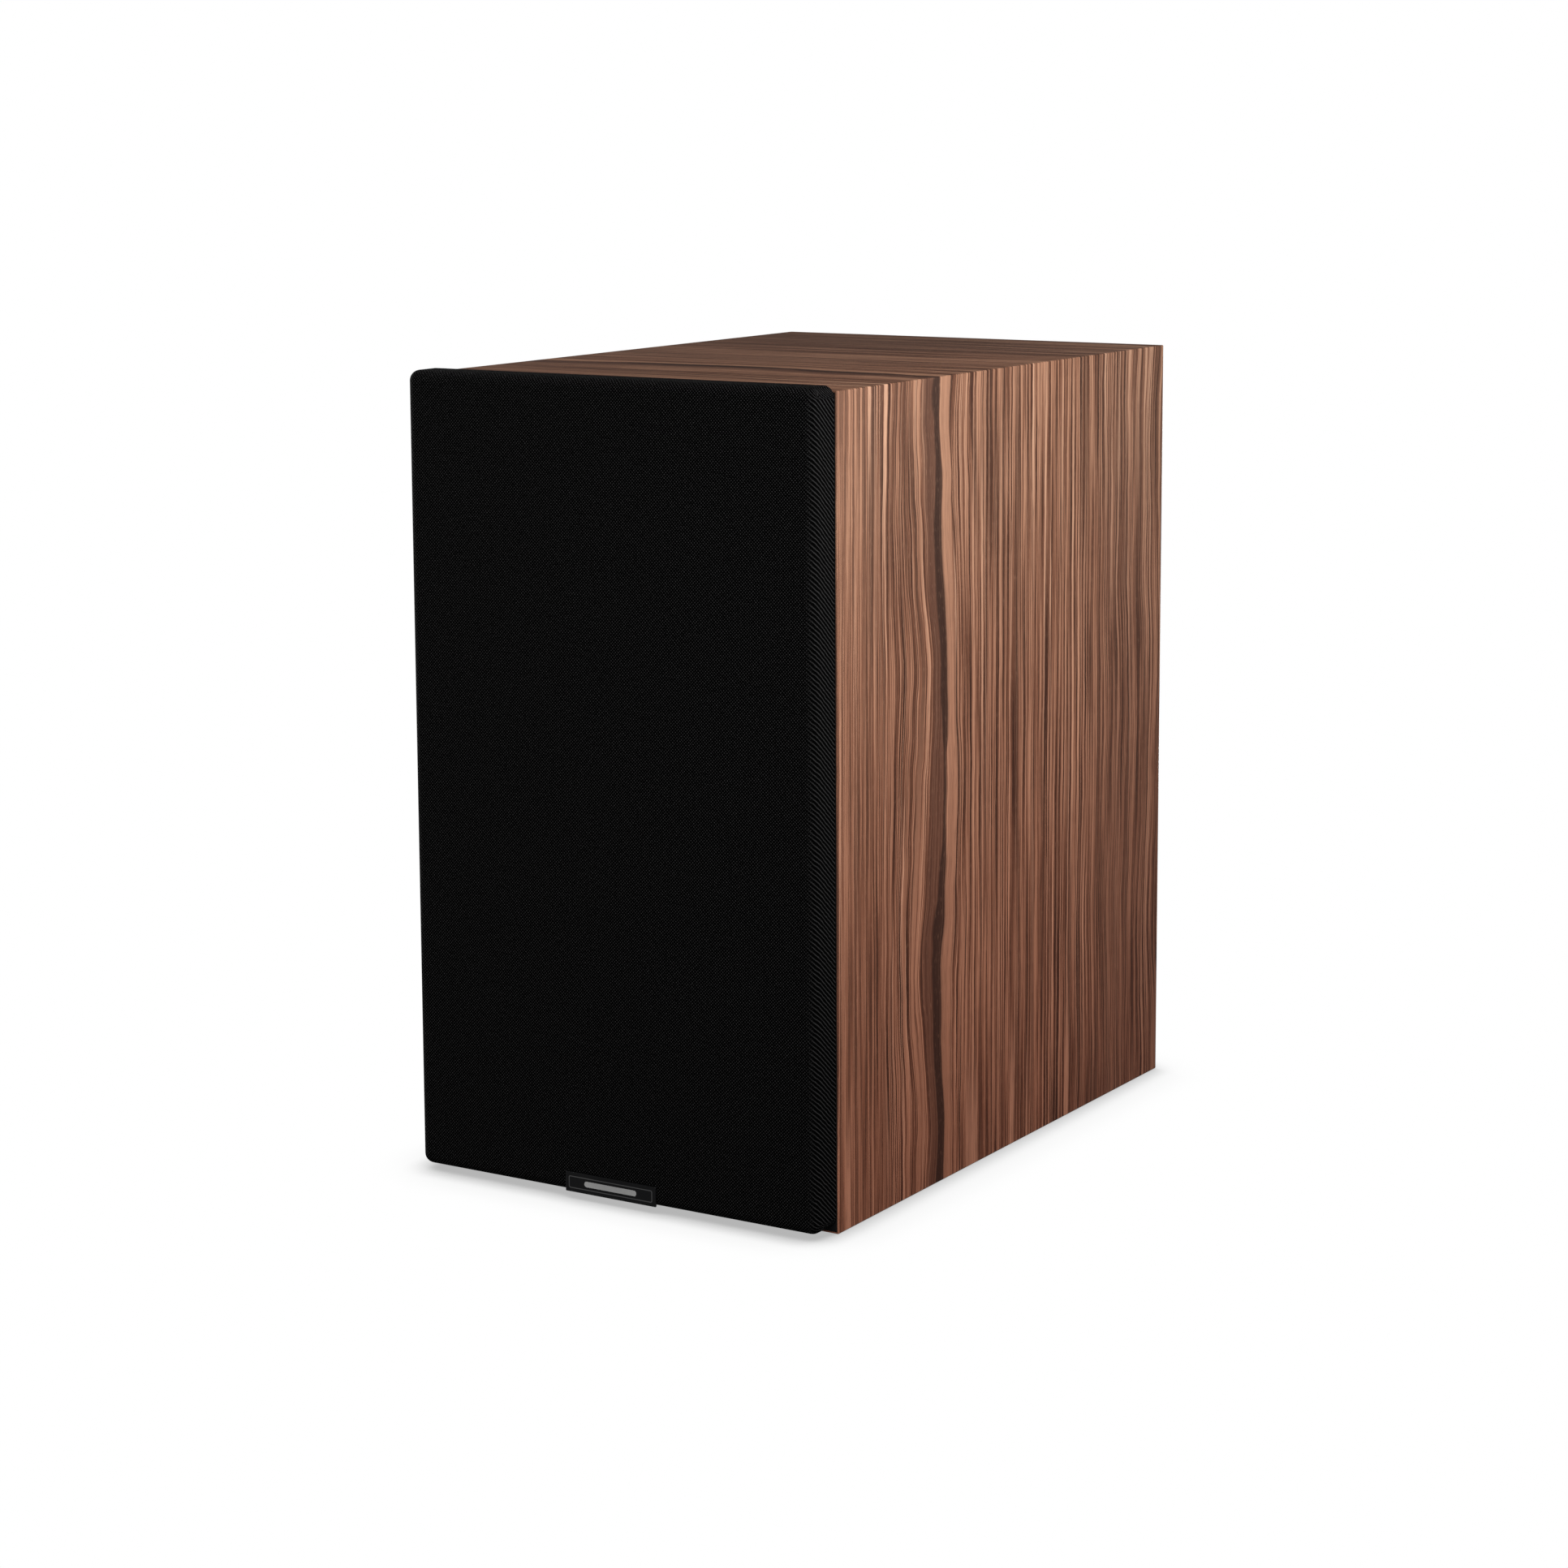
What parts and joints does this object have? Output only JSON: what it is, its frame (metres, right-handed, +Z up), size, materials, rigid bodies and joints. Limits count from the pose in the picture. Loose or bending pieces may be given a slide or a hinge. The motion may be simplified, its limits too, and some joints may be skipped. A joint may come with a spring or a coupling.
{
  "type": "bookshelf speaker",
  "caption": "Upright two-way bookshelf speaker: a walnut-veneered box with a pull-off black cloth grille, woofer, dome tweeter, rear port and binding posts.",
  "frame": {"origin": "centre of the flat underside of the cabinet, in the plane the speaker stands on", "axes": "+Z up, -Y out of the front (grille) side, +X to the right of someone facing the front"},
  "size_m": [0.2, 0.3088, 0.342],
  "materials": {
    "walnut_veneer": "satin walnut veneer on board",
    "black_panel": "black vinyl-wrapped board",
    "raw_board": "raw fibreboard",
    "grille_fabric": "black acoustic knit",
    "moulded_black": "satin black moulding",
    "gloss_black": "gloss black",
    "rubber_roll": "matt black rubber",
    "paper_cone": "pressed paper pulp",
    "dome_silk": "coated silk",
    "spider_cloth": "resin-stiffened cotton",
    "cast_frame": "powder-coated casting",
    "plated_steel": "zinc plated",
    "black_steel": "black oxide",
    "ferrite": "dark ferrite",
    "gold_plate": "gold plated",
    "copper_wire": "enamelled copper",
    "red_plastic": "red moulding",
    "board_laminate": "green laminate",
    "film_case": "yellow wrapped film",
    "lead_sheath": "grey sheath",
    "wadding": "polyester wadding"
  },
  "bodies": {
    "cabinet": {"left_side_panel": "walnut_veneer", "right_side_panel": "walnut_veneer", "top_panel": "walnut_veneer", "bottom_panel": "walnut_veneer", "front_baffle": "black_panel", "back_panel": "black_panel", "window_brace": "raw_board", "woofer_trim_ring": "moulded_black", "tweeter_faceplate": "moulded_black", "tweeter_guard": "moulded_black", "tweeter_chamber": "moulded_black", "port_tube": "moulded_black", "terminal_cup": "moulded_black", "baffle_magnet_1": "plated_steel", "baffle_magnet_2": "plated_steel", "baffle_magnet_3": "plated_steel", "baffle_magnet_4": "plated_steel", "woofer_top_plate": "plated_steel", "woofer_yoke": "plated_steel", "woofer_gasket": "rubber_roll", "woofer_surround": "rubber_roll", "woofer_basket": "cast_frame", "bass_coil": "copper_wire", "woofer_spider": "spider_cloth", "woofer_magnet": "ferrite", "tweeter_motor": "ferrite", "woofer_screw_1": "black_steel", "woofer_screw_2": "black_steel", "woofer_screw_3": "black_steel", "woofer_screw_4": "black_steel", "tweeter_screw_1": "black_steel", "tweeter_screw_2": "black_steel", "tweeter_screw_3": "black_steel", "terminal_screw_1": "black_steel", "terminal_screw_2": "black_steel", "terminal_screw_3": "black_steel", "terminal_screw_4": "black_steel", "tweeter_surround": "dome_silk", "red_post": "gold_plate", "black_post": "gold_plate", "crossover_board": "board_laminate", "capacitor": "film_case", "woofer_lead": "lead_sheath", "tweeter_lead": "lead_sheath", "damping_wadding": "wadding"},
    "grille": {"grille_frame": "moulded_black", "grille_cloth": "grille_fabric", "grille_badge": "gloss_black", "grille_magnet_1": "plated_steel", "grille_magnet_2": "plated_steel", "grille_magnet_3": "plated_steel", "grille_magnet_4": "plated_steel"},
    "woofer_diaphragm": {"woofer_cone": "paper_cone", "woofer_dust_cap": "paper_cone", "woofer_voice_coil": "copper_wire"},
    "tweeter_diaphragm": {"tweeter_dome": "dome_silk"},
    "red_clamp": {"red_clamp_washer": "gold_plate"},
    "red_nut": {"red_post_nut": "red_plastic"},
    "black_clamp": {"black_clamp_washer": "gold_plate"},
    "black_nut": {"black_post_nut": "moulded_black"}
  },
  "joints": [
    {"name": "grille_pull", "type": "slide", "parent": "cabinet", "child": "grille", "axis": [0, -1, 0], "range_m": [0, 0.08]},
    {"name": "woofer_stroke", "type": "slide", "parent": "cabinet", "child": "woofer_diaphragm", "axis": [0, -1, 0], "range_m": [-0.005, 0.005], "stiffness_N_per_m": 1200, "deforming": ["woofer_surround", "woofer_spider"]},
    {"name": "tweeter_stroke", "type": "slide", "parent": "cabinet", "child": "tweeter_diaphragm", "axis": [0, -1, 0], "range_m": [-0.0004, 0.0004], "stiffness_N_per_m": 600, "deforming": ["tweeter_surround"]},
    {"name": "red_clamp_slide", "type": "slide", "parent": "cabinet", "child": "red_clamp", "axis": [0, 1, 0], "range_m": [0, 0.0051]},
    {"name": "red_nut_spin", "type": "hinge", "parent": "red_clamp", "child": "red_nut", "pos_m": [0.018, 0.117, 0.085], "axis": [0, 1, 0], "range_deg": [0, 1440]},
    {"name": "black_clamp_slide", "type": "slide", "parent": "cabinet", "child": "black_clamp", "axis": [0, 1, 0], "range_m": [0, 0.0051]},
    {"name": "black_nut_spin", "type": "hinge", "parent": "black_clamp", "child": "black_nut", "pos_m": [-0.018, 0.117, 0.085], "axis": [0, 1, 0], "range_deg": [0, 1440]}
  ],
  "couplings": [
    {"joint": "red_clamp_slide", "follows": "red_nut_spin", "m_per_rad": 0.00019894},
    {"joint": "black_clamp_slide", "follows": "black_nut_spin", "m_per_rad": 0.00019894}
  ]
}
